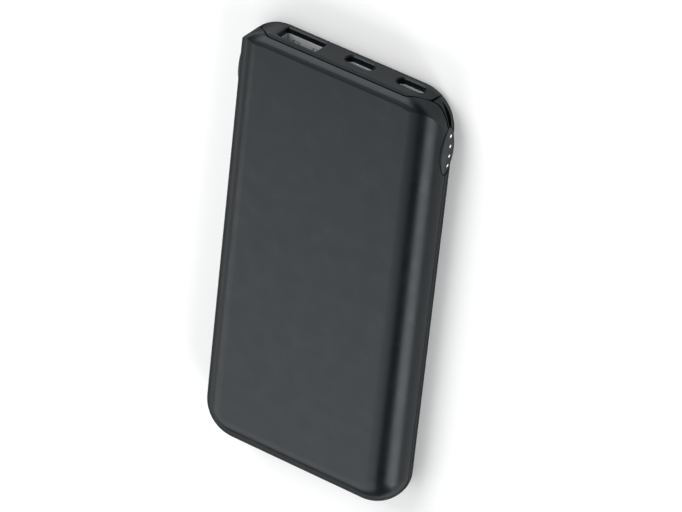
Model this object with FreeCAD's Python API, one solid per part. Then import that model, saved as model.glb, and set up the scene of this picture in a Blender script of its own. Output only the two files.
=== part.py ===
import FreeCAD, Part
import math
import os

# Slim power bank with two stacked pouch cells, lying on its back.
# X is the width, Y the length with the sockets at +Y, Z the thickness with the front face up.
# The origin is the middle of the back face. All sizes are millimetres.

V = FreeCAD.Vector
ALONG_X = V(1, 0, 0)
ALONG_Y = V(0, 1, 0)
ALONG_Z = V(0, 0, 1)
CENTRE = V(0, 0, 0)

# ---- Overall body ---------------------------------------------------------------------------
width = 68.0
length = 136.0
thickness = 14.0
plan_round = 11.5            # corner radius seen from the front
side_round = 8.8             # front edge along the long sides and the lower end
top_round = 3.0              # front edge along the socket end
back_round = 4.5             # edge all round the back face
wall = 1.6
cap_wall = 1.8               # end wall that carries the sockets
cavity_top_round = 2.0       # inside corner behind the front edge of the socket end

# ---- Seams ----------------------------------------------------------------------------------
seam_gap = 0.2
end_gap = 0.5                # the same gap across the socket end and round the cap
seam_z = 5.4                 # front and back shell part here along the sides
shoulder_z = 6.3             # the same seam beside the sockets
groove_drop = 1.5            # front shell's lower edge across the socket end, below the face
seam_flat_inset = 10.6       # where that edge starts to fall, from the side
seam_foot_inset = 4.0        # where it has come down to the shoulder, from the side
seam_bend = 3.0
lip_thickness = 0.8
lip_height = 1.2
lip_root = 1.5               # how far the lip's foot reaches below the seam
lip_gap = 0.25               # to the inside of the front shell
lip_bite = 0.3               # how far the lip's foot is moulded into the wall

# ---- Socket cap -----------------------------------------------------------------------------
cap_inset = 5.8              # cap's end, from the side of the body
cap_depth = 5.5              # how far the cap wraps onto the back face
cap_bend = 3.5
cap_shoulder_z = 7.8         # where the cap's sloping corner meets its upright end
bevel_height = 0.9
bevel_run = 0.35

# ---- Reveal slots at the shoulders ------------------------------------------------------------
slot_angle = 28.0            # direction of the slot's middle round the corner, from the side
slot_half_angle = 23.0
slot_high_z = 4.2            # centre line at the socket end of the slot
slot_low_z = 5.2             # centre line at the button end of the slot
slot_half_width = 0.8
slot_depth = 1.1

# ---- Oval side pieces -------------------------------------------------------------------------
oval_from_end = 16.3         # centre, from the socket end
oval_length = 15.4
oval_width = 6.0
oval_z = 5.4
oval_clearance = 0.25
oval_proud = 0.5
crown_drop = 0.6             # how much lower the crown is at its two ends
ridge_rise = 1.0             # ridge, above the oval's centre
front_slope = 12.0           # degrees, from the ridge towards the front
back_slope = 5.0             # degrees, from the ridge towards the back
flange_length = 17.0
flange_width = 4.6
flange_thickness = 1.0
flange_gap = 0.7             # to the inside of the side wall
foot_width = 3.2
foot_height = 1.2
foot_gap = 0.05              # between the button's foot and the switch plunger

# ---- Light guides and lamps -------------------------------------------------------------------
light_count = 4
light_pitch = 3.15
light_diameter = 0.9
light_z = 4.9
guide_tail = 0.2             # how far a guide stands out behind the flange
lamp_width = 1.6
lamp_height = 0.8
lamp_depth = 1.4
lamp_inset = 0.1             # from the board's edge

# ---- Sockets ----------------------------------------------------------------------------------
sheet = 0.3                  # metal of the socket shells
socket_gap = 0.05            # between a socket's mouth and the cap
socket_base = 1.6            # plastic block that closes the back of a socket
opening_bevel = 0.3

usb_a_inset = 19.0           # socket centre, from the left side
usb_a_z = 7.2
usb_a_width = 12.5
usb_a_height = 5.1
usb_a_depth = 14.0
usb_a_corner = 0.5
usb_a_margin = 0.25          # cap opening beyond the socket's mouth, all round
usb_a_tongue_width = 11.1
usb_a_tongue_thickness = 1.8
usb_a_tongue_length = 8.9
usb_a_tongue_gap = 0.9       # between the tongue and the front of the shell
usb_a_contact_width = 1.0
usb_a_contact_thickness = 0.15
usb_a_contact_length = 7.0
usb_a_contact_x = (-3.5, -1.0, 1.0, 3.5)
finger_x = 3.3
finger_width = 1.7
finger_length = 3.6
finger_slot = 0.3
finger_start = 1.3           # slot's near end, from the socket's mouth

usb_c_inset = 13.1           # right-hand socket centre, from the right side
usb_c_spacing = 16.9
usb_c_z = 6.6
usb_c_width = 8.34
usb_c_height = 2.56
usb_c_depth = 7.4
usb_c_margin = 0.48
usb_c_tongue_width = 6.7
usb_c_tongue_thickness = 0.7
usb_c_tongue_length = 4.6
usb_c_contact_width = 0.25
usb_c_contact_thickness = 0.06
usb_c_contact_length = 3.4
usb_c_contact_pitch = 0.5
usb_c_contact_count = 12

# ---- Circuit board ----------------------------------------------------------------------------
board_side_gap = 3.4         # to the inside of the side wall
board_length = 23.8
board_thickness = 1.2
board_z = 5.3
board_corner_gap = 0.6       # to the inside of the rounded corners
board_cap_gap = 0.6
board_notch_gap = 0.25       # round a socket let into the board
post_radius = 1.9
post_inset_high = 8.0        # from the side of the body, for the posts near the sockets
post_inset_low = 9.0
post_high_from_end = 10.0
post_low_from_end = 21.6
screw_radius = 0.8
screw_head_radius = 1.4
screw_head_height = 0.7
screw_reach = 2.6            # thread below the board
screw_fit = 0.02
screw_play = 0.2
recess_radius = 0.7
recess_depth = 0.35

# ---- Parts on the board -----------------------------------------------------------------------
# name, then one (x, distance from the socket end, size) for each solid
chip = (5.0, 5.0, 0.85)
small_chip = (4.0, 4.0, 0.85)
transistor = (3.3, 3.3, 0.8)
ceramic = (0.8, 1.6, 0.8)
resistor = (1.6, 3.2, 0.6)
board_parts = {
    "charge_controller_chip": [(11.5, 19.0, chip)],
    "fast_charge_chip": [(17.5, 14.5, small_chip)],
    "power_transistors": [(x, 24.0, transistor) for x in (2.0, 6.2, 10.4, 14.6)],
    "ceramic_capacitors": [(x, y, ceramic) for x in (-4.6, -3.0) for y in (12.5, 15.0, 17.5, 20.0)],
    "sense_resistors": [(x, 13.0, resistor) for x in (6.0, 8.4)],
}
inductor_place = (3.2, 18.4)
inductor_size = 7.3
inductor_height = 4.0
inductor_corner = 1.2
can_places = ((-18.6, 20.4), (-12.6, 20.4))
can_radius = 2.5
can_height = 5.2
can_waist = 0.25
can_foot = 0.9
can_base = 5.6

# ---- Side switch ------------------------------------------------------------------------------
switch_inset = 0.6           # switch face, from the board's edge
switch_depth = 3.6
switch_width = 6.0
switch_height = 1.9
switch_plate = 0.15
plunger_length = 1.9
plunger_width = 2.0
plunger_height = 0.9
plunger_reach = 1.1          # how far the plunger stands out of the switch
plunger_fit = 0.05
plunger_room = 0.6           # free depth behind the plunger

# ---- Cells --------------------------------------------------------------------------------------
cell_side_gap = 4.4          # to the inside of the side wall
cell_end_gap = 4.8           # to the inside of the lower end wall
cell_board_gap = 8.4         # between the cells and the board
cell_round = 2.0
cell_plan_round = 2.5
terrace_width = 50.0         # sealed flap at the cell's tab end
terrace_length = 3.6
terrace_thickness = 0.4
tape_thickness = 0.2
tape_width = 40.0
tape_end_gap = 8.0           # from the cell's ends
foam_width = 10.0
foam_x = 12.5
foam_thickness = 0.5         # on top of the front cell; the two cells share the height that is left
foam_gap = 0.1               # to the front shell
tab_width = 5.0
tab_thickness = 0.2
tab_x = (6.0, 16.0)
tab_riser = 5.4              # from the cell's end to the tab's upright part
tab_return = 2.2             # how far the tab comes back under the protection board
guard_left = -14.0           # protection board, from its left end to its right end
guard_right = 24.0
guard_start = 0.7            # from the cell's end
guard_length = 4.2
guard_thickness = 0.8
lead_radius = 0.65
lead_x = {"positive": -10.0, "negative": -5.0}
lead_landing = 2.5           # how far a lead lies on the main board
lead_bend = 1.2
bead_radius = 0.7
bead_length = 2.0
bead_leg_radius = 0.15
bead_leg_length = 4.5
bead_leg_spacing = 0.8
film_thickness = 0.15
film_inset = 0.9             # from the edge of the flat floor
film_post_gap = 0.2
bay_rib = 1.0
bay_rib_height = 2.2
bay_rib_end_gap = 5.0        # between the rib's ends and the side walls
bay_rib_gap = 0.8            # between the rib and the board's edge

# ---- Values that follow ---------------------------------------------------------------------------
half_width = width / 2.0
end_y = length / 2.0
side_inner_x = half_width - wall
roof_z = thickness - wall
low_inner_y = wall - end_y
cap_inner_y = end_y - cap_wall
groove_z = thickness - groove_drop
seam_flat = half_width - seam_flat_inset
seam_foot = half_width - seam_foot_inset
cap_half = half_width - cap_inset
floor_inset = back_round - wall
tiny = 1e-6                  # lengths below this count as nothing
beyond = 3.0                 # how far cutting shapes run past what they cut
least_run = 0.01             # straight run left between two arcs of a round end

oval_y = end_y - oval_from_end
ridge_x = half_width + oval_proud
flange_out_x = side_inner_x - flange_gap
flange_in_x = flange_out_x - flange_thickness

mouth_y = cap_inner_y - socket_gap
usb_a_x = usb_a_inset - half_width
usb_c_right_x = half_width - usb_c_inset
usb_c_x = {"left": usb_c_right_x - usb_c_spacing, "right": usb_c_right_x}

board_half = side_inner_x - board_side_gap
board_top_y = cap_inner_y - board_cap_gap
board_low_y = board_top_y - board_length
board_face_z = board_z + board_thickness
post_places = (
    (post_inset_high - half_width, end_y - post_high_from_end),
    (usb_c_right_x - usb_c_spacing / 2.0, end_y - post_high_from_end),
    (post_inset_low - half_width, end_y - post_low_from_end),
    (half_width - post_inset_low, end_y - post_low_from_end),
)

switch_out_x = board_half - switch_inset
switch_z = board_face_z + switch_height / 2.0
plunger_out_x = switch_out_x + plunger_reach
foot_x = plunger_out_x + foot_gap

cell_half = side_inner_x - cell_side_gap
cell_low_y = low_inner_y + cell_end_gap
cell_top_y = board_low_y - cell_board_gap
cell_back_z = wall + tape_thickness
cell_stack = roof_z - foam_gap - foam_thickness - cell_back_z
cell_thickness = (cell_stack - tape_thickness) / 2.0
cell_middle_z = cell_back_z + cell_thickness
cell_front_z = cell_middle_z + tape_thickness
cell_roof_z = cell_front_z + cell_thickness
guard_y = cell_top_y + guard_start
guard_z = (cell_back_z + cell_roof_z - guard_thickness) / 2.0


# ---- Shapes used by several pieces -------------------------------------------------------------

def box(x, y, z):
    """Box between the two values of each pair."""
    return Part.makeBox(x[1] - x[0], y[1] - y[0], z[1] - z[0], V(x[0], y[0], z[0]))


def block(centre_x, centre_y, low_z, size):
    """Box standing on low_z, centred in plan; size is its X, Y and Z."""
    return Part.makeBox(size[0], size[1], size[2],
                        V(centre_x - size[0] / 2.0, centre_y - size[1] / 2.0, low_z))


def fused(shapes):
    return shapes[0].multiFuse(shapes[1:]).removeSplitter()


def mirrored(shape):
    return shape.mirror(CENTRE, ALONG_X)


def upright_edges(shape, direction):
    """Straight edges of the shape that run along the direction."""
    found = []
    for edge in shape.Edges:
        run = edge.lastVertex().Point - edge.firstVertex().Point
        if run.Length > 0 and run.cross(direction).Length < tiny * run.Length:
            found.append(edge)
    return found


def rounded_face(corners, place):
    """Face with corners (u, v, radius), each rounded by its radius; place turns (u, v) into a point."""
    stretches = []
    count = len(corners)
    for index, (u, v, radius) in enumerate(corners):
        here = V(u, v, 0)
        before = V(*corners[index - 1][:2], 0) - here
        after = V(*corners[(index + 1) % count][:2], 0) - here
        half_turn = before.getAngle(after) / 2.0
        before.normalize()
        after.normalize()
        reach = radius / math.tan(half_turn)
        inward = (before + after).normalize()
        middle = here + inward * (radius / math.sin(half_turn) - radius)
        stretches.append((here + before * reach, middle, here + after * reach, radius))
    edges = []
    for index, (start, middle, finish, radius) in enumerate(stretches):
        following = stretches[(index + 1) % count][0]
        if radius > 0:
            edges.append(Part.Arc(place(start), place(middle), place(finish)).toShape())
        edges.append(Part.makeLine(place(finish), place(following)))
    return Part.Face(Part.Wire(edges))


def slot_bar(centre_x, centre_z, size_x, size_z, corner, low_y, high_y):
    """Bar along Y with a rounded rectangular section."""
    half_x = size_x / 2.0
    half_z = size_z / 2.0
    corners = [(centre_x + sx * half_x, centre_z + sz * half_z, corner)
               for sx, sz in ((-1, -1), (1, -1), (1, 1), (-1, 1))]
    face = rounded_face(corners, lambda p: V(p.x, low_y, p.y))
    return face.extrude(ALONG_Y * (high_y - low_y))


def plan_prism(inset, low_z, high_z):
    """Upright prism over the body's outline, drawn in by the inset."""
    half_x = half_width - inset
    half_y = end_y - inset
    prism = box((-half_x, half_x), (-half_y, half_y), (low_z, high_z))
    return prism.makeFillet(plan_round - inset, upright_edges(prism, ALONG_Z))


def rounded_slab(half_x, y, z, corner, front, back):
    slab = box((-half_x, half_x), y, z)
    slab = slab.makeFillet(corner, upright_edges(slab, ALONG_Z))
    for radius, level in ((front, z[1]), (back, z[0])):
        rim = [edge for edge in slab.Edges
               if abs(edge.BoundBox.ZMin - level) < tiny and abs(edge.BoundBox.ZMax - level) < tiny]
        slab = slab.makeFillet(radius, rim)
    return slab


def soft_slab(half_x, y, z, corner, side, top, back):
    """Slab whose long sides keep their rounding up to the end at high Y, which has its own."""
    run_on = 2.0 * (corner + side)
    sides = rounded_slab(half_x, (y[0], y[1] + run_on), z, corner, side, back)
    end = rounded_slab(half_x, (y[0] - run_on, y[1]), z, corner, top, back)
    return sides.common(end).Solids[0]


def tube(points, bend, radius):
    """Round tube along straight runs, with the same bend at each inner point."""
    edges = []
    start = points[0]
    for before, here, after in zip(points, points[1:], points[2:]):
        back = (before - here).normalize()
        ahead = (after - here).normalize()
        half_turn = back.getAngle(ahead) / 2.0
        reach = bend / math.tan(half_turn)
        middle = here + (back + ahead).normalize() * (bend / math.sin(half_turn) - bend)
        edges.append(Part.makeLine(start, here + back * reach))
        edges.append(Part.Arc(here + back * reach, middle, here + ahead * reach).toShape())
        start = here + ahead * reach
    edges.append(Part.makeLine(start, points[-1]))
    circle = Part.Wire(Part.Circle(points[0], points[1] - points[0], radius).toShape())
    return Part.Wire(edges).makePipeShell([circle], True, False)


# ---- Casing ----------------------------------------------------------------------------------------

def casing_wall():
    """The whole outer wall, before it is divided into shells and cap."""
    outer = soft_slab(half_width, (-end_y, end_y), (0, thickness),
                      plan_round, side_round, top_round, back_round)
    cavity = soft_slab(side_inner_x, (low_inner_y, cap_inner_y), (wall, roof_z),
                       plan_round - wall, side_round - wall, cavity_top_round, back_round - wall)
    return outer.cut(cavity)


def below_end_seam(drop):
    """Space under the front shell's edge at the socket end, lowered by drop."""
    far_x = half_width + beyond
    right = [
        (far_x, shoulder_z - drop, 0),
        (seam_foot, shoulder_z - drop, seam_bend),
        (seam_flat, groove_z - drop, seam_bend),
    ]
    left = [(-x, z, radius) for x, z, radius in reversed(right)]
    corners = [(-far_x, -beyond, 0), (far_x, -beyond, 0)] + right + left
    face = rounded_face(corners, lambda p: V(p.x, oval_y, p.y))
    return face.extrude(ALONG_Y * (end_y + beyond - oval_y))


def front_space():
    far_x = half_width + beyond
    far_y = end_y + beyond
    above = box((-far_x, far_x), (-far_y, far_y), (seam_z, thickness + beyond))
    return above.cut(below_end_seam(0))


def back_space():
    far_x = half_width + beyond
    low = box((-far_x, far_x), (-end_y - beyond, oval_y), (-beyond, seam_z - seam_gap))
    return low.fuse(below_end_seam(end_gap))


def cap_space(grow):
    """Space taken by the cap, made larger by grow where it meets the back shell."""
    half = cap_half + grow
    shoulder = cap_shoulder_z + grow
    top_z = groove_z - end_gap + grow
    flat = seam_flat - end_gap / 2.0 + grow / 2.0
    start_y = end_y - cap_depth - grow
    corners = [
        (-half, -beyond, 0), (half, -beyond, 0), (half, shoulder, cap_bend),
        (flat, top_z, seam_bend), (-flat, top_z, seam_bend), (-half, shoulder, cap_bend),
    ]
    face = rounded_face(corners, lambda p: V(p.x, start_y, p.y))
    return face.extrude(ALONG_Y * (end_y + beyond - start_y))


def oval_bar(grow, start_x, end_x):
    """Bar along X with the oval's section, made larger by grow all round."""
    centre = V(start_x, oval_y, oval_z)
    half_y = oval_length / 2.0 + grow
    half_z = oval_width / 2.0 + grow
    edge = Part.Ellipse(centre + ALONG_Y * half_y, centre + ALONG_Z * half_z, centre).toShape()
    return Part.Face(Part.Wire(edge)).extrude(ALONG_X * (end_x - start_x))


def oval_openings():
    opening = oval_bar(0, side_inner_x - beyond, half_width + beyond)
    return opening.fuse(mirrored(opening))


def reveal_slot():
    """Lens-shaped slot cut into the right-hand shoulder, square to the corner at slot_angle."""
    turn = math.radians(slot_angle)
    outward = V(math.cos(turn), math.sin(turn), 0)
    tangent = V(-math.sin(turn), math.cos(turn), 0)
    corner_axis = V(half_width - plan_round, end_y - plan_round, 0)
    base = corner_axis + outward * (plan_round - slot_depth)
    reach = plan_round * math.sin(math.radians(slot_half_angle))
    middle_z = (slot_high_z + slot_low_z) / 2.0
    tips = [base + tangent * reach + ALONG_Z * slot_high_z,
            base - tangent * reach + ALONG_Z * slot_low_z]
    edges = []
    for side in (1, -1):
        bulge = base + ALONG_Z * (middle_z + side * slot_half_width)
        edges.append(Part.Arc(tips[0], bulge, tips[1]).toShape())
    return Part.Face(Part.Wire(edges)).extrude(outward * (slot_depth + beyond))


def seam_lip():
    """Lip on the back shell that stands up inside the front shell, below the side openings."""
    outer_inset = wall + lip_gap
    inner_inset = outer_inset + lip_thickness
    root_z = seam_z - lip_root
    tip_z = seam_z + lip_height
    hollow = plan_prism(inner_inset, root_z - beyond, tip_z + beyond)
    lip = plan_prism(outer_inset, root_z, tip_z).cut(hollow)
    root = plan_prism(wall - lip_bite, root_z, seam_z - seam_gap).cut(hollow)
    end = oval_y - flange_length / 2.0 - beyond
    far_x = half_width + beyond
    kept = box((-far_x, far_x), (-end_y, end), (0, thickness))
    return lip.fuse(root).common(kept)


def posts():
    """Screw posts under the board, and the rib between the cells and the board."""
    made = []
    for x, y in post_places:
        post = Part.makeCylinder(post_radius, board_z - wall / 2.0, V(x, y, wall / 2.0))
        pilot = Part.makeCylinder(screw_radius + screw_fit, screw_reach + screw_fit,
                                  V(x, y, board_z - screw_reach - screw_fit))
        made.append(post.cut(pilot))
    rib_half = side_inner_x - bay_rib_end_gap
    rib_y = board_low_y - bay_rib_gap
    made.append(box((-rib_half, rib_half), (rib_y - bay_rib, rib_y),
                    (wall / 2.0, wall + bay_rib_height)))
    return made


def front_shell(casing):
    return casing.common(front_space()).cut(oval_openings())


def back_shell(casing):
    shell = casing.common(back_space()).cut(cap_space(end_gap)).cut(oval_openings())
    slot = reveal_slot()
    shell = shell.cut(slot).cut(mirrored(slot))
    return fused([shell, seam_lip()] + posts())


def socket_opening(centre_x, centre_z, size_x, size_z, corner):
    """Hole through the cap's end wall, widened by a bevel at its outer face."""
    hole = slot_bar(centre_x, centre_z, size_x, size_z, corner,
                    cap_inner_y - beyond, end_y + beyond)
    corners = []
    for grow in (0, opening_bevel):
        half_x = size_x / 2.0 + grow
        half_z = size_z / 2.0 + grow
        corners.append([(centre_x + sx * half_x, centre_z + sz * half_z, corner + grow)
                        for sx, sz in ((-1, -1), (1, -1), (1, 1), (-1, 1))])
    inner = rounded_face(corners[0], lambda p: V(p.x, end_y - opening_bevel, p.y)).OuterWire
    outer = rounded_face(corners[1], lambda p: V(p.x, end_y, p.y)).OuterWire
    return hole.fuse(Part.makeLoft([inner, outer], True))


def port_cap(casing):
    cap = casing.common(cap_space(0))
    top_z = groove_z - end_gap
    wedge = [
        V(-cap_half, end_y, top_z - bevel_height),
        V(-cap_half, end_y + beyond, top_z - bevel_height),
        V(-cap_half, end_y + beyond, top_z + beyond),
        V(-cap_half, end_y - bevel_run * (bevel_height + beyond) / bevel_height, top_z + beyond),
    ]
    bevel = Part.Face(Part.makePolygon(wedge + wedge[:1])).extrude(ALONG_X * 2 * cap_half)
    cap = cap.cut(bevel)
    cap = cap.cut(socket_opening(usb_a_x, usb_a_z, usb_a_width + 2 * usb_a_margin,
                                 usb_a_height + 2 * usb_a_margin, usb_a_corner))
    pill_height = usb_c_height + 2 * usb_c_margin
    for x in usb_c_x.values():
        cap = cap.cut(socket_opening(x, usb_c_z, usb_c_width + 2 * usb_c_margin,
                                     pill_height, pill_height / 2.0 - least_run))
    return cap


# ---- Oval side pieces --------------------------------------------------------------------------------

def crown_space():
    """Space under the crowned outer face: two facets that meet at a ridge, curved along Y."""
    reach = oval_width
    ridge_z = oval_z + ridge_rise
    front_x = ridge_x - reach * math.tan(math.radians(front_slope))
    back_x = ridge_x - reach * math.tan(math.radians(back_slope))
    profile = [
        V(flange_in_x, oval_y, ridge_z - reach),
        V(back_x, oval_y, ridge_z - reach),
        V(ridge_x, oval_y, ridge_z),
        V(front_x, oval_y, ridge_z + reach),
        V(flange_in_x, oval_y, ridge_z + reach),
    ]
    crown_radius = (oval_length / 2.0) ** 2 / (2.0 * crown_drop)
    pivot = V(ridge_x - crown_radius, oval_y, 0)
    half_sweep = math.degrees(math.asin(0.7 * oval_length / crown_radius))
    face = Part.Face(Part.makePolygon(profile + profile[:1]))
    face.rotate(pivot, ALONG_Z, -half_sweep)
    return face.revolve(pivot, ALONG_Z, 2 * half_sweep)


def oval_head():
    bar = oval_bar(-oval_clearance, flange_in_x + flange_thickness / 2.0, ridge_x + beyond)
    return bar.common(crown_space())


def oval_flange():
    """Flange behind the side wall, drawn in where it meets the body's corner."""
    half_y = flange_length / 2.0
    half_z = flange_width / 2.0
    corners = [(oval_y + sy * half_y, oval_z + sz * half_z, half_z - least_run)
               for sy, sz in ((-1, -1), (1, -1), (1, 1), (-1, 1))]
    face = rounded_face(corners, lambda p: V(flange_in_x, p.x, p.y))
    flange = face.extrude(ALONG_X * flange_thickness)
    return flange.common(plan_prism(wall + flange_gap, 0, thickness))


def side_pad():
    """Fixed oval on the left, the same shape as the button."""
    return mirrored(fused([oval_head(), oval_flange()]))


def light_ys():
    middle = (light_count - 1) / 2.0
    return [oval_y + (index - middle) * light_pitch for index in range(light_count)]


def guide_bars():
    start_x = flange_in_x - guide_tail
    return [Part.makeCylinder(light_diameter / 2.0, ridge_x + beyond - start_x,
                              V(start_x, y, light_z), ALONG_X) for y in light_ys()]


def light_guides():
    """Clear rods moulded into the button, flush with its crown."""
    crown = crown_space()
    tail = box((flange_in_x - beyond, flange_in_x + flange_thickness / 2.0),
               (oval_y - oval_length, oval_y + oval_length), (0, thickness))
    space = crown.fuse(tail)
    return Part.makeCompound([bar.common(space) for bar in guide_bars()])


def power_button():
    foot = box((foot_x, flange_in_x + flange_thickness / 2.0),
               (oval_y - foot_width / 2.0, oval_y + foot_width / 2.0),
               (switch_z - foot_height / 2.0, switch_z + foot_height / 2.0))
    button = fused([oval_head(), oval_flange(), foot])
    for bar in guide_bars():
        button = button.cut(bar)
    return button


# ---- Sockets -------------------------------------------------------------------------------------------

def socket_shell(x, z, inner_x, inner_z, corner, depth):
    outer = slot_bar(x, z, inner_x + 2 * sheet, inner_z + 2 * sheet, corner + sheet,
                     mouth_y - depth, mouth_y)
    inner = slot_bar(x, z, inner_x, inner_z, corner, mouth_y - depth - beyond, mouth_y + beyond)
    return outer.cut(inner)


def spring_finger_slots():
    """U-shaped slots that free two spring fingers in the front and back walls of the shell."""
    slots = []
    half_outer = finger_width / 2.0 + finger_slot
    near_y = mouth_y - finger_start
    for side in (-1, 1):
        x = usb_a_x + side * finger_x
        for face_z in (usb_a_z - usb_a_height / 2.0 - sheet, usb_a_z + usb_a_height / 2.0):
            z = (face_z - sheet, face_z + 2 * sheet)
            hole = box((x - half_outer, x + half_outer), (near_y - finger_length, near_y), z)
            finger = box((x - finger_width / 2.0, x + finger_width / 2.0),
                         (near_y - finger_length - beyond, near_y - finger_slot), z)
            slots.append(hole.cut(finger))
    return slots


def usb_a_shell():
    shell = socket_shell(usb_a_x, usb_a_z, usb_a_width, usb_a_height, usb_a_corner, usb_a_depth)
    for slot in spring_finger_slots():
        shell = shell.cut(slot)
    return shell


def usb_a_tongue_z():
    high = usb_a_z + usb_a_height / 2.0 - usb_a_tongue_gap
    return (high - usb_a_tongue_thickness, high)


def usb_a_tongue():
    back_y = mouth_y - usb_a_depth
    base = slot_bar(usb_a_x, usb_a_z, usb_a_width, usb_a_height, usb_a_corner,
                    back_y, back_y + socket_base)
    half = usb_a_tongue_width / 2.0
    tongue = box((usb_a_x - half, usb_a_x + half),
                 (back_y, back_y + socket_base + usb_a_tongue_length), usb_a_tongue_z())
    return fused([base, tongue])


def usb_a_contacts():
    start_y = mouth_y - usb_a_depth + socket_base
    low_z = usb_a_tongue_z()[0]
    half = usb_a_contact_width / 2.0
    strips = [box((usb_a_x + x - half, usb_a_x + x + half),
                  (start_y, start_y + usb_a_contact_length),
                  (low_z - usb_a_contact_thickness, low_z)) for x in usb_a_contact_x]
    return Part.makeCompound(strips)


def usb_c_shell(x):
    return socket_shell(x, usb_c_z, usb_c_width, usb_c_height,
                        usb_c_height / 2.0 - least_run, usb_c_depth)


def usb_c_tongue(x):
    back_y = mouth_y - usb_c_depth
    base = slot_bar(x, usb_c_z, usb_c_width, usb_c_height, usb_c_height / 2.0 - least_run,
                    back_y, back_y + socket_base)
    half = usb_c_tongue_width / 2.0
    half_z = usb_c_tongue_thickness / 2.0
    tongue = box((x - half, x + half), (back_y, back_y + socket_base + usb_c_tongue_length),
                 (usb_c_z - half_z, usb_c_z + half_z))
    return fused([base, tongue])


def usb_c_contacts(x):
    start_y = mouth_y - usb_c_depth + socket_base
    middle = (usb_c_contact_count - 1) / 2.0
    faces = (usb_c_z + usb_c_tongue_thickness / 2.0,
             usb_c_z - usb_c_tongue_thickness / 2.0 - usb_c_contact_thickness)
    strips = []
    for index in range(usb_c_contact_count):
        centre = x + (index - middle) * usb_c_contact_pitch
        half = usb_c_contact_width / 2.0
        for low_z in faces:
            strips.append(box((centre - half, centre + half),
                              (start_y, start_y + usb_c_contact_length),
                              (low_z, low_z + usb_c_contact_thickness)))
    return Part.makeCompound(strips)


# ---- Circuit board and what is on it ---------------------------------------------------------------------

def board_notch(x, inner_x, depth):
    half = inner_x / 2.0 + sheet + board_notch_gap
    return box((x - half, x + half), (mouth_y - depth - board_notch_gap, end_y),
               (board_z - beyond, board_face_z + beyond))


def circuit_board():
    board = box((-board_half, board_half), (board_low_y, board_top_y), (board_z, board_face_z))
    board = board.common(plan_prism(wall + board_corner_gap, board_z, board_face_z))
    board = board.cut(board_notch(usb_a_x, usb_a_width, usb_a_depth))
    for x in usb_c_x.values():
        board = board.cut(board_notch(x, usb_c_width, usb_c_depth))
    for x, y in post_places:
        board = board.cut(Part.makeCylinder(screw_radius + screw_play, board_thickness,
                                            V(x, y, board_z)))
    return board


def board_screws():
    screws = []
    for x, y in post_places:
        shank = Part.makeCylinder(screw_radius, screw_reach + board_thickness,
                                  V(x, y, board_z - screw_reach))
        head = Part.makeCylinder(screw_head_radius, screw_head_height, V(x, y, board_face_z))
        recess = Part.makeCylinder(recess_radius, recess_depth,
                                   V(x, y, board_face_z + screw_head_height - recess_depth))
        screws.append(fused([shank, head]).cut(recess))
    return Part.makeCompound(screws)


def status_lamps():
    out_x = board_half - lamp_inset
    lamps = [box((out_x - lamp_depth, out_x), (y - lamp_width / 2.0, y + lamp_width / 2.0),
                 (board_z - lamp_height, board_z)) for y in light_ys()]
    return Part.makeCompound(lamps)


def switch_body():
    body = box((switch_out_x - switch_depth, switch_out_x),
               (oval_y - switch_width / 2.0, oval_y + switch_width / 2.0),
               (board_face_z, board_face_z + switch_height))
    half_y = plunger_width / 2.0 + plunger_fit
    half_z = plunger_height / 2.0 + plunger_fit
    pocket = box((plunger_out_x - plunger_length - plunger_room, switch_out_x + beyond),
                 (oval_y - half_y, oval_y + half_y), (switch_z - half_z, switch_z + half_z))
    return body.cut(pocket)


def switch_cover():
    """Sheet-metal plate over the switch."""
    top_z = board_face_z + switch_height
    return box((switch_out_x - switch_depth, switch_out_x),
               (oval_y - switch_width / 2.0, oval_y + switch_width / 2.0),
               (top_z, top_z + switch_plate))


def switch_plunger():
    half_y = plunger_width / 2.0
    half_z = plunger_height / 2.0
    return box((plunger_out_x - plunger_length, plunger_out_x),
               (oval_y - half_y, oval_y + half_y), (switch_z - half_z, switch_z + half_z))


def board_part(name):
    solids = [block(x, end_y - y, board_face_z, size) for x, y, size in board_parts[name]]
    return Part.makeCompound(solids) if len(solids) > 1 else solids[0]


def power_inductor():
    x, from_end = inductor_place
    core = block(x, end_y - from_end, board_face_z, (inductor_size, inductor_size, inductor_height))
    return core.makeFillet(inductor_corner, upright_edges(core, ALONG_Z))


def bulk_capacitors():
    """Round cans with a crimped waist, each on a square plastic base."""
    cans = []
    for x, from_end in can_places:
        foot = V(x, end_y - from_end, board_face_z)
        base = block(foot.x, foot.y, foot.z, (can_base, can_base, can_foot))
        can = Part.makeCylinder(can_radius, can_height - can_foot, foot + ALONG_Z * can_foot)
        groove = Part.makeTorus(can_radius, can_waist, foot + ALONG_Z * (can_foot + 3 * can_waist))
        cans.append(fused([base, can]).cut(groove))
    return Part.makeCompound(cans)


# ---- Cells and wiring ------------------------------------------------------------------------------------

def battery_cell(low_z):
    body = box((-cell_half, cell_half), (cell_low_y, cell_top_y), (low_z, low_z + cell_thickness))
    body = body.makeFillet(cell_plan_round, upright_edges(body, ALONG_Z))
    rims = [edge for edge in body.Edges
            if abs(edge.firstVertex().Z - edge.lastVertex().Z) < tiny]
    body = body.makeFillet(cell_round, rims)
    flap = block(0, cell_top_y + terrace_length / 2.0 - cell_round / 2.0,
                 low_z + (cell_thickness - terrace_thickness) / 2.0,
                 (terrace_width, terrace_length + cell_round, terrace_thickness))
    return fused([body, flap])


def cell_tape(low_z):
    return box((-tape_width / 2.0, tape_width / 2.0),
               (cell_low_y + tape_end_gap, cell_top_y - tape_end_gap),
               (low_z, low_z + tape_thickness))


def foam_pads():
    strips = [box((side * foam_x - foam_width / 2.0, side * foam_x + foam_width / 2.0),
                  (cell_low_y + tape_end_gap, cell_top_y - tape_end_gap),
                  (cell_roof_z, cell_roof_z + foam_thickness)) for side in (-1, 1)]
    return Part.makeCompound(strips)


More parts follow.
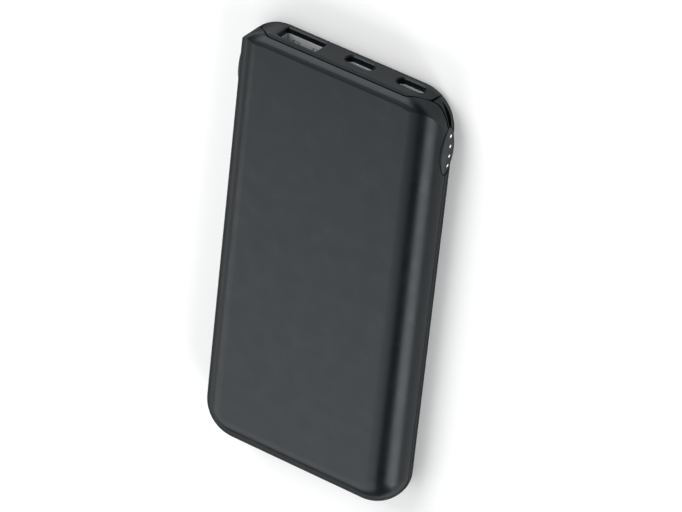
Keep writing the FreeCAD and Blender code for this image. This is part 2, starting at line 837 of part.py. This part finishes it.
def protection_board():
    return box((guard_left, guard_right), (guard_y, guard_y + guard_length),
               (guard_z, guard_z + guard_thickness))


def cell_tab(x, flap_z, board_side_z):
    """Strip from a cell's flap, bent round onto one face of the protection board."""
    half = tab_width / 2.0
    across = (x - half, x + half)
    flap_end = cell_top_y + terrace_length
    riser_y = cell_top_y + tab_riser
    rise = 1 if board_side_z > flap_z else -1
    low = min(flap_z - tab_thickness / 2.0, board_side_z)
    high = max(flap_z + tab_thickness / 2.0, board_side_z)
    landing = sorted((board_side_z, board_side_z - rise * tab_thickness))
    return fused([
        box(across, (flap_end, riser_y + tab_thickness),
            (flap_z - tab_thickness / 2.0, flap_z + tab_thickness / 2.0)),
        box(across, (riser_y, riser_y + tab_thickness), (low, high)),
        box(across, (riser_y - tab_return, riser_y + tab_thickness), landing),
    ])


def cell_tabs():
    back_flap_z = cell_back_z + cell_thickness / 2.0
    front_flap_z = cell_front_z + cell_thickness / 2.0
    tabs = []
    for x in tab_x:
        tabs.append(cell_tab(x, back_flap_z, guard_z))
        tabs.append(cell_tab(x, front_flap_z, guard_z + guard_thickness))
    return Part.makeCompound(tabs)


def lead(x):
    """Short insulated wire from the protection board down onto the main board."""
    high_z = guard_z + guard_thickness + lead_radius
    low_z = board_face_z + lead_radius
    points = [
        V(x, guard_y + guard_length / 3.0, high_z),
        V(x, guard_y + guard_length + lead_radius, high_z),
        V(x, board_low_y - lead_radius, low_z),
        V(x, board_low_y + lead_landing, low_z),
    ]
    return tube(points, lead_bend, lead_radius)


def temperature_sensor():
    """Bead against the cells' end, with two legs on the protection board."""
    leg_z = guard_z + guard_thickness + bead_leg_radius
    y = cell_top_y + bead_radius
    leg_start = guard_left - bead_leg_length / 2.0
    bead = Part.makeCylinder(bead_radius, bead_length, V(leg_start - bead_length, y, leg_z), ALONG_X)
    legs = [Part.makeCylinder(bead_leg_radius, bead_leg_length + bead_radius / 2.0,
                              V(leg_start - bead_radius / 2.0, y + side * bead_leg_spacing / 2.0,
                                leg_z), ALONG_X) for side in (-1, 1)]
    return fused([bead] + legs)


def insulation_film():
    """Thin film on the floor under the circuit board, cut out round the posts."""
    height = (wall, wall + film_thickness)
    film = plan_prism(back_round + film_inset, *height)
    film = film.common(box((-half_width, half_width), (board_low_y, end_y), height))
    for x, y in post_places:
        film = film.cut(Part.makeCylinder(post_radius + film_post_gap, thickness, V(x, y, 0)))
    return film


# ---- All the pieces ------------------------------------------------------------------------------------------

def all_parts():
    casing = casing_wall()
    parts = {
        "front_shell": front_shell(casing),
        "back_shell": back_shell(casing),
        "port_cap": port_cap(casing),
        "side_pad": side_pad(),
        "power_button": power_button(),
        "light_guides": light_guides(),
        "usb_a_shell": usb_a_shell(),
        "usb_a_tongue": usb_a_tongue(),
        "usb_a_contacts": usb_a_contacts(),
        "circuit_board": circuit_board(),
        "board_screws": board_screws(),
        "status_lamps": status_lamps(),
        "switch_body": switch_body(),
        "switch_cover": switch_cover(),
        "switch_plunger": switch_plunger(),
        "power_inductor": power_inductor(),
        "bulk_capacitors": bulk_capacitors(),
        "battery_cell_back": battery_cell(cell_back_z),
        "battery_cell_front": battery_cell(cell_front_z),
        "tape_back": cell_tape(wall),
        "tape_middle": cell_tape(cell_middle_z),
        "foam_pads": foam_pads(),
        "cell_tabs": cell_tabs(),
        "protection_board": protection_board(),
        "positive_lead": lead(lead_x["positive"]),
        "negative_lead": lead(lead_x["negative"]),
        "temperature_sensor": temperature_sensor(),
        "insulation_film": insulation_film(),
    }
    for side, x in usb_c_x.items():
        parts["usb_c_" + side + "_shell"] = usb_c_shell(x)
        parts["usb_c_" + side + "_tongue"] = usb_c_tongue(x)
        parts["usb_c_" + side + "_contacts"] = usb_c_contacts(x)
    for name in board_parts:
        parts[name] = board_part(name)
    return parts


def main():
    os.makedirs("parts", exist_ok=True)
    for name, shape in all_parts().items():
        shape.exportStep("parts/" + name + ".step")
        print(name, len(shape.Solids), "solids", round(shape.Volume, 2), "mm3",
              "valid" if shape.isValid() else "NOT VALID")


main()
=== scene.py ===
import math

import bpy
from mathutils import Matrix, Vector


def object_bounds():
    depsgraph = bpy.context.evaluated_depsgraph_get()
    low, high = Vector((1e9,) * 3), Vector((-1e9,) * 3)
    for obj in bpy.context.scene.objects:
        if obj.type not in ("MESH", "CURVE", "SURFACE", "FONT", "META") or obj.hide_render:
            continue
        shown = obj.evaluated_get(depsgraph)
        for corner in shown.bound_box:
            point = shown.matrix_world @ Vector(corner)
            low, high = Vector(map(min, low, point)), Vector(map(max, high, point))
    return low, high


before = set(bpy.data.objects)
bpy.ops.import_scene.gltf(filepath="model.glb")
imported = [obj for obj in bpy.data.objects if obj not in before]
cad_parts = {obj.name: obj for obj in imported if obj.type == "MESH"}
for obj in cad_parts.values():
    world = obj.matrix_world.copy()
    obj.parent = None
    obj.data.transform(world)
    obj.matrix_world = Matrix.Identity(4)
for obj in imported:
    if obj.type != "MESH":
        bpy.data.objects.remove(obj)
cad_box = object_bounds()

LOW, HIGH = cad_box
CENTRE = (LOW + HIGH) / 2.0
MM = 0.001

# ---- Camera ---------------------------------------------------------------------------------
CAMERA_RIGHT = Vector((0.82123, 0.09307, -0.56295))
CAMERA_UP = Vector((-0.36909, 0.83905, -0.39971))
CAMERA_BACK = Vector((0.43514, 0.53603, 0.72341))
CAMERA_DISTANCE = 1.6742
CAMERA_SIDE = 0.004587       # framing, along the picture's width
CAMERA_RISE = 0.003028       # framing, along the picture's height
SENSOR = 36.0
LENS = 316.7
CLIP = (0.05, 50.0)


def make_camera():
    data = bpy.data.cameras.new("camera")
    data.sensor_width = SENSOR
    data.lens = LENS
    data.clip_start, data.clip_end = CLIP
    camera = bpy.data.objects.new("camera", data)
    turn = Matrix((CAMERA_RIGHT, CAMERA_UP, CAMERA_BACK)).transposed().to_4x4()
    place = (CENTRE + CAMERA_BACK * CAMERA_DISTANCE + CAMERA_RIGHT * CAMERA_SIDE
             + CAMERA_UP * CAMERA_RISE)
    camera.matrix_world = Matrix.Translation(place) @ turn
    bpy.context.scene.collection.objects.link(camera)
    bpy.context.scene.camera = camera


# ---- Studio -----------------------------------------------------------------------------------
# name, direction from the object, distance, size along X, size across, radiance
LIGHTS = (
    ("main", (-0.33, -0.69, 0.645), 0.80, 0.86, 0.50, 2.75),
    ("end", (-0.44, 0.746, 0.503), 0.75, 0.60, 0.84, 4.4),
    ("side", (0.76, -0.54, 0.36), 0.75, 0.26, 0.62, 6.2),
    ("fill", (-0.44, 0.02, 0.90), 0.90, 0.50, 0.40, 1.4),
    ("corner", (0.83, 0.08, 0.54), 0.75, 0.22, 0.46, 4.6),
    ("left", (-0.85, -0.50, 0.21), 0.80, 0.30, 0.34, 0.75),
)
WORLD_TONE = (0.06, 0.066, 0.072)
FLOOR_TONE = (0.80, 0.80, 0.80)
FLOOR_GLOW = 0.12
FLOOR_REACH = 6.0
FLOOR_ROUGH = 0.9
FLOOR_SHEEN = 0.1
WHITE = (1.0, 1.0, 1.0, 1.0)
BLACK = (0.0, 0.0, 0.0, 1.0)


def soft_light(name, direction, distance, width, height, radiance):
    """Rectangular soft box facing the object, with its width as near to world X as it can be."""
    data = bpy.data.lights.new(name, "AREA")
    data.shape = "RECTANGLE"
    data.size = width
    data.size_y = height
    data.energy = radiance * math.pi * width * height
    light = bpy.data.objects.new(name, data)
    back = Vector(direction).normalized()
    across = Vector((1.0, 0.0, 0.0))
    across = (across - back * across.dot(back)).normalized()
    turn = Matrix((across, back.cross(across), back)).transposed().to_4x4()
    light.matrix_world = Matrix.Translation(CENTRE + back * distance) @ turn
    bpy.context.scene.collection.objects.link(light)


def make_studio():
    world = bpy.data.worlds.new("studio")
    world.use_nodes = True
    background = world.node_tree.nodes["Background"]
    background.inputs["Color"].default_value = (*WORLD_TONE, 1.0)
    bpy.context.scene.world = world
    for values in LIGHTS:
        soft_light(*values)
    make_floor()


def make_floor():
    mesh = bpy.data.meshes.new("floor")
    corners = [(x * FLOOR_REACH, y * FLOOR_REACH, LOW.z)
               for x, y in ((-1, -1), (1, -1), (1, 1), (-1, 1))]
    mesh.from_pydata(corners, [], [(0, 1, 2, 3)])
    floor = bpy.data.objects.new("floor", mesh)
    bpy.context.scene.collection.objects.link(floor)
    material = bpy.data.materials.new("floor")
    material.use_nodes = True
    shader = material.node_tree.nodes["Principled BSDF"]
    shader.inputs["Base Color"].default_value = (*FLOOR_TONE, 1.0)
    shader.inputs["Roughness"].default_value = FLOOR_ROUGH
    shader.inputs["Specular IOR Level"].default_value = FLOOR_SHEEN
    shader.inputs["Emission Color"].default_value = WHITE
    shader.inputs["Emission Strength"].default_value = FLOOR_GLOW
    mesh.materials.append(material)


# ---- Materials --------------------------------------------------------------------------------
# Lengths in the tables below are millimetres: the size of the pattern that each texture draws.

EDGE_FACING = (0.52, 0.74)   # how far a moulded surface has turned away, from 0 facing to 1 edge on
EDGE_ROUGH = 0.85
CLOUD = 14.0                 # patches of slightly different tone in moulded plastic
CLOUD_LIFT = 1.12
UNEVEN_GLOSS = 5.0
METAL_PATCH = 2.5
CREASE = (9.0, 14.0, 9.0)    # creases and pebbles of a cell's foil
CREASE_DEPTH = 0.05
PEBBLE = 0.35
PEBBLE_DEPTH = 0.01
TRACK = (2.6, 2.2, 2.6)      # tracks and plated holes of a circuit board
TRACK_GAP = 0.06
TRACK_LIFT = 1.7
TRACK_DEPTH = 0.02
HOLE_PITCH = 3.1
HOLE_EDGE = (0.09, 0.12)

for imported in list(bpy.data.materials):
    imported.name = "cad:" + imported.name


class Finish:
    """A material built from nodes, with patterns laid out in millimetres of the object."""

    def __init__(self, name):
        self.material = bpy.data.materials.new(name)
        self.material.use_nodes = True
        self.tree = self.material.node_tree
        self.shader = self.tree.nodes["Principled BSDF"]
        place = self.tree.nodes.new("ShaderNodeTexCoord")
        scaled = self.tree.nodes.new("ShaderNodeMapping")
        scaled.inputs["Scale"].default_value = (1.0 / MM,) * 3
        self.join(place.outputs["Object"], scaled.inputs["Vector"])
        self.place = scaled.outputs["Vector"]

    def join(self, source, target):
        self.tree.links.new(source, target)

    def node(self, kind, **settings):
        made = self.tree.nodes.new(kind)
        for name, value in settings.items():
            setattr(made, name, value)
        return made

    def stretched(self, size):
        """Place coordinates divided by the size along each axis."""
        mapping = self.node("ShaderNodeMapping")
        mapping.inputs["Scale"].default_value = tuple(1.0 / value for value in size)
        self.join(self.place, mapping.inputs["Vector"])
        return mapping.outputs["Vector"]

    def noise(self, size, detail=2.0, roughness=0.5, distortion=0.0):
        made = self.node("ShaderNodeTexNoise")
        size = size if isinstance(size, tuple) else (size,) * 3
        self.join(self.stretched(size), made.inputs["Vector"])
        made.inputs["Scale"].default_value = 1.0
        made.inputs["Detail"].default_value = detail
        made.inputs["Roughness"].default_value = roughness
        made.inputs["Distortion"].default_value = distortion
        return made.outputs["Fac"]

    def cells(self, size, feature="F1"):
        made = self.node("ShaderNodeTexVoronoi", feature=feature)
        size = size if isinstance(size, tuple) else (size,) * 3
        self.join(self.stretched(size), made.inputs["Vector"])
        made.inputs["Scale"].default_value = 1.0
        return made.outputs["Distance"]

    def spread(self, value, low, high, start=0.3, stop=0.7):
        """The value, taken from start..stop to low..high."""
        made = self.node("ShaderNodeMapRange")
        self.join(value, made.inputs["Value"])
        made.inputs["From Min"].default_value = start
        made.inputs["From Max"].default_value = stop
        made.inputs["To Min"].default_value = low
        made.inputs["To Max"].default_value = high
        return made.outputs["Result"]

    def rougher_edge(self, source, far):
        """The roughness, rising to the far value where the surface is seen nearly edge on."""
        facing = self.node("ShaderNodeLayerWeight").outputs["Facing"]
        made = self.node("ShaderNodeMapRange")
        self.join(facing, made.inputs["Value"])
        made.inputs["From Min"].default_value = EDGE_FACING[0]
        made.inputs["From Max"].default_value = EDGE_FACING[1]
        self.join(source, made.inputs["To Min"])
        made.inputs["To Max"].default_value = far
        return made.outputs["Result"]

    def blend(self, value, first, second):
        made = self.node("ShaderNodeMix", data_type="RGBA")
        self.join(value, made.inputs["Factor"])
        for socket, tone in ((made.inputs[6], first), (made.inputs[7], second)):
            if isinstance(tone, tuple):
                socket.default_value = (*tone, 1.0)
            else:
                self.join(tone, socket)
        return made.outputs[2]

    def colour(self, source):
        self.join(source, self.shader.inputs["Base Color"])

    def rough(self, source):
        self.join(source, self.shader.inputs["Roughness"])

    def relief(self, heights):
        """Bumps on top of each other: (height, depth in millimetres) pairs."""
        under = None
        for height, depth in heights:
            bump = self.node("ShaderNodeBump")
            bump.inputs["Strength"].default_value = 1.0
            bump.inputs["Distance"].default_value = depth * MM
            self.join(height, bump.inputs["Height"])
            if under is not None:
                self.join(under, bump.inputs["Normal"])
            under = bump.outputs["Normal"]
        self.join(under, self.shader.inputs["Normal"])

    def constants(self, values):
        for name, value in values.items():
            self.shader.inputs[name].default_value = value


def moulded(name, tones, grain, rough, depth, **constants):
    """Moulded plastic: fine grain, faint clouding and uneven gloss."""
    finish = Finish(name)
    fine = finish.noise(grain, detail=3.0)
    cloud = finish.noise(CLOUD, detail=3.0)
    shade = finish.blend(finish.spread(fine, 0.0, 1.0, 0.25, 0.75), *tones)
    lift = tuple(min(1.0, value * CLOUD_LIFT) for value in tones[1])
    finish.colour(finish.blend(finish.spread(cloud, 0.0, 0.5), shade, lift))
    uneven = finish.spread(finish.noise(UNEVEN_GLOSS, detail=4.0), *rough)
    finish.rough(finish.rougher_edge(uneven, EDGE_ROUGH))
    finish.relief([(fine, depth), (finish.noise(grain * 6.0), depth * 1.5)])
    finish.constants(constants)
    return finish.material


def brushed(name, tones, stroke, rough, depth, **constants):
    """Metal with fine strokes along one axis, as rolled, drawn or plated sheet shows."""
    finish = Finish(name)
    strokes = finish.noise(stroke, detail=4.0, roughness=0.6)
    patches = finish.noise(METAL_PATCH, detail=3.0)
    finish.colour(finish.blend(finish.spread(strokes, 0.0, 1.0), *tones))
    finish.rough(finish.spread(patches, *rough))
    finish.relief([(strokes, depth)])
    finish.constants({"Metallic": 1.0, **constants})
    return finish.material


def foil(name, tones, rough, **constants):
    """Laminated foil drawn over a cell: soft creases and a pebbled coat."""
    finish = Finish(name)
    creases = finish.cells(CREASE, feature="SMOOTH_F1")
    pebble = finish.noise(PEBBLE, detail=2.0)
    finish.colour(finish.blend(finish.spread(creases, 0.0, 1.0, 0.1, 0.8), *tones))
    finish.rough(finish.spread(pebble, *rough))
    finish.relief([(creases, CREASE_DEPTH), (pebble, PEBBLE_DEPTH)])
    finish.constants({"Metallic": 0.85, **constants})
    return finish.material


def masked_board(name, mask, copper, rough, **constants):
    """Solder mask over copper tracks, with small plated holes."""
    finish = Finish(name)
    tracks = finish.node("ShaderNodeTexBrick", offset=0.5)
    finish.join(finish.stretched(TRACK), tracks.inputs["Vector"])
    tracks.inputs["Color1"].default_value = WHITE
    tracks.inputs["Color2"].default_value = (0.85, 0.85, 0.85, 1.0)
    tracks.inputs["Mortar"].default_value = BLACK
    tracks.inputs["Scale"].default_value = 1.0
    tracks.inputs["Mortar Size"].default_value = TRACK_GAP
    lighter = tuple(value * TRACK_LIFT for value in mask)
    ground = finish.blend(tracks.outputs["Color"], mask, lighter)
    holes = finish.spread(finish.cells(HOLE_PITCH), 1.0, 0.0, *HOLE_EDGE)
    finish.colour(finish.blend(holes, ground, copper))
    finish.rough(finish.spread(finish.noise(1.2), *rough))
    finish.relief([(tracks.outputs["Color"], TRACK_DEPTH), (holes, TRACK_DEPTH)])
    finish.constants(constants)
    return finish.material


def granular(name, tones, grain, rough, depth, **constants):
    """Pressed, fired or foamed material: grains or pores packed together."""
    finish = Finish(name)
    grains = finish.cells(grain)
    finish.colour(finish.blend(finish.spread(grains, 0.0, 1.0, 0.1, 0.8), *tones))
    finish.rough(finish.spread(finish.noise(grain * 3.0), *rough))
    finish.relief([(grains, depth)])
    finish.constants(constants)
    return finish.material


MATERIALS = {
    "shell": moulded("shell", ((0.0026, 0.0040, 0.0050), (0.0042, 0.0058, 0.0068)), 0.22,
                     (0.27, 0.34), 0.0035, **{"Specular IOR Level": 0.25,
                                                   "Specular Tint": (0.88, 0.96, 1.0, 1.0)}),
    "button": moulded("button", ((0.016, 0.018, 0.019), (0.024, 0.026, 0.028)), 0.22,
                      (0.36, 0.44), 0.0035, **{"Specular IOR Level": 0.3}),
    # light_guide: white translucent plastic with a painted glow (Emission Strength 0.35) to make the dots
    # look whiter, although the lamps beneath it are unlit
    "light_guide": moulded("light_guide", ((0.80, 0.82, 0.84), (0.92, 0.94, 0.96)), 0.15,
                           (0.20, 0.30), 0.002, **{"Transmission Weight": 0.25,
                                                   "Emission Color": (0.9, 0.95, 1.0, 1.0),
                                                   "Emission Strength": 0.35}),
    "socket_metal": brushed("socket_metal", ((0.44, 0.45, 0.46), (0.58, 0.59, 0.60)),
                            (0.12, 3.0, 0.12), (0.50, 0.62), 0.002, **{"Metallic": 0.35}),
    "socket_plastic": moulded("socket_plastic", ((0.006, 0.006, 0.007), (0.012, 0.012, 0.013)), 0.12,
                              (0.42, 0.55), 0.003),
    "contact": brushed("contact", ((0.78, 0.57, 0.24), (0.90, 0.70, 0.36)),
                       (0.06, 1.4, 0.06), (0.18, 0.28), 0.001),
    "board": masked_board("board", (0.012, 0.055, 0.030), (0.80, 0.60, 0.28), (0.22, 0.34),
                          **{"Coat Weight": 0.3, "Coat Roughness": 0.15}),
    "screw": brushed("screw", ((0.40, 0.41, 0.42), (0.56, 0.57, 0.58)), (0.10, 0.10, 0.60),
                     (0.25, 0.40), 0.002),
    "lamp": moulded("lamp", ((0.86, 0.80, 0.52), (0.94, 0.90, 0.66)), 0.10, (0.15, 0.25), 0.001,
                    **{"Subsurface Weight": 0.15}),
    "plunger": moulded("plunger", ((0.66, 0.65, 0.60), (0.76, 0.75, 0.70)), 0.12, (0.40, 0.50), 0.002),
    "ferrite": granular("ferrite", ((0.050, 0.050, 0.053), (0.110, 0.110, 0.114)), 0.18,
                        (0.45, 0.62), 0.012),
    "chip": moulded("chip", ((0.016, 0.016, 0.017), (0.032, 0.032, 0.034)), 0.09, (0.50, 0.62), 0.004),
    "can": brushed("can", ((0.66, 0.67, 0.68), (0.80, 0.81, 0.82)), (2.4, 2.4, 0.05),
                   (0.22, 0.34), 0.002),
    "ceramic_part": granular("ceramic_part", ((0.42, 0.31, 0.20), (0.60, 0.47, 0.33)), 0.10,
                             (0.35, 0.50), 0.004),
    "pouch": foil("pouch", ((0.50, 0.52, 0.54), (0.66, 0.68, 0.70)), (0.32, 0.48)),
    "tab": brushed("tab", ((0.56, 0.55, 0.52), (0.72, 0.71, 0.68)), (0.10, 2.0, 0.10),
                   (0.24, 0.38), 0.002),
    "tape": granular("tape", ((0.70, 0.68, 0.58), (0.86, 0.84, 0.74)), 0.60, (0.60, 0.80), 0.010),
    "foam": granular("foam", ((0.012, 0.012, 0.013), (0.040, 0.040, 0.043)), 0.35, (0.80, 0.95), 0.060),
    "film": moulded("film", ((0.50, 0.36, 0.10), (0.66, 0.50, 0.18)), 0.40, (0.18, 0.30), 0.002,
                    **{"Transmission Weight": 0.2}),
    "red_wire": moulded("red_wire", ((0.36, 0.012, 0.012), (0.48, 0.022, 0.020)), 0.16, (0.42, 0.55), 0.006),
    "black_wire": moulded("black_wire", ((0.010, 0.010, 0.010), (0.022, 0.022, 0.022)), 0.16,
                          (0.42, 0.55), 0.006),
    "sensor": moulded("sensor", ((0.10, 0.035, 0.012), (0.20, 0.080, 0.030)), 0.12, (0.08, 0.16), 0.002,
                      **{"Coat Weight": 0.6, "Coat Roughness": 0.05}),
}


def dress_frame():
    """Gives every CAD node the material of its record slot."""
    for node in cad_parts.values():
        for place in node.material_slots:
            place.material = MATERIALS[place.material.name.split(":")[1].split(".")[0]]


make_camera()
make_studio()
dress_frame()
bpy.context.scene.view_settings.view_transform = "Standard"
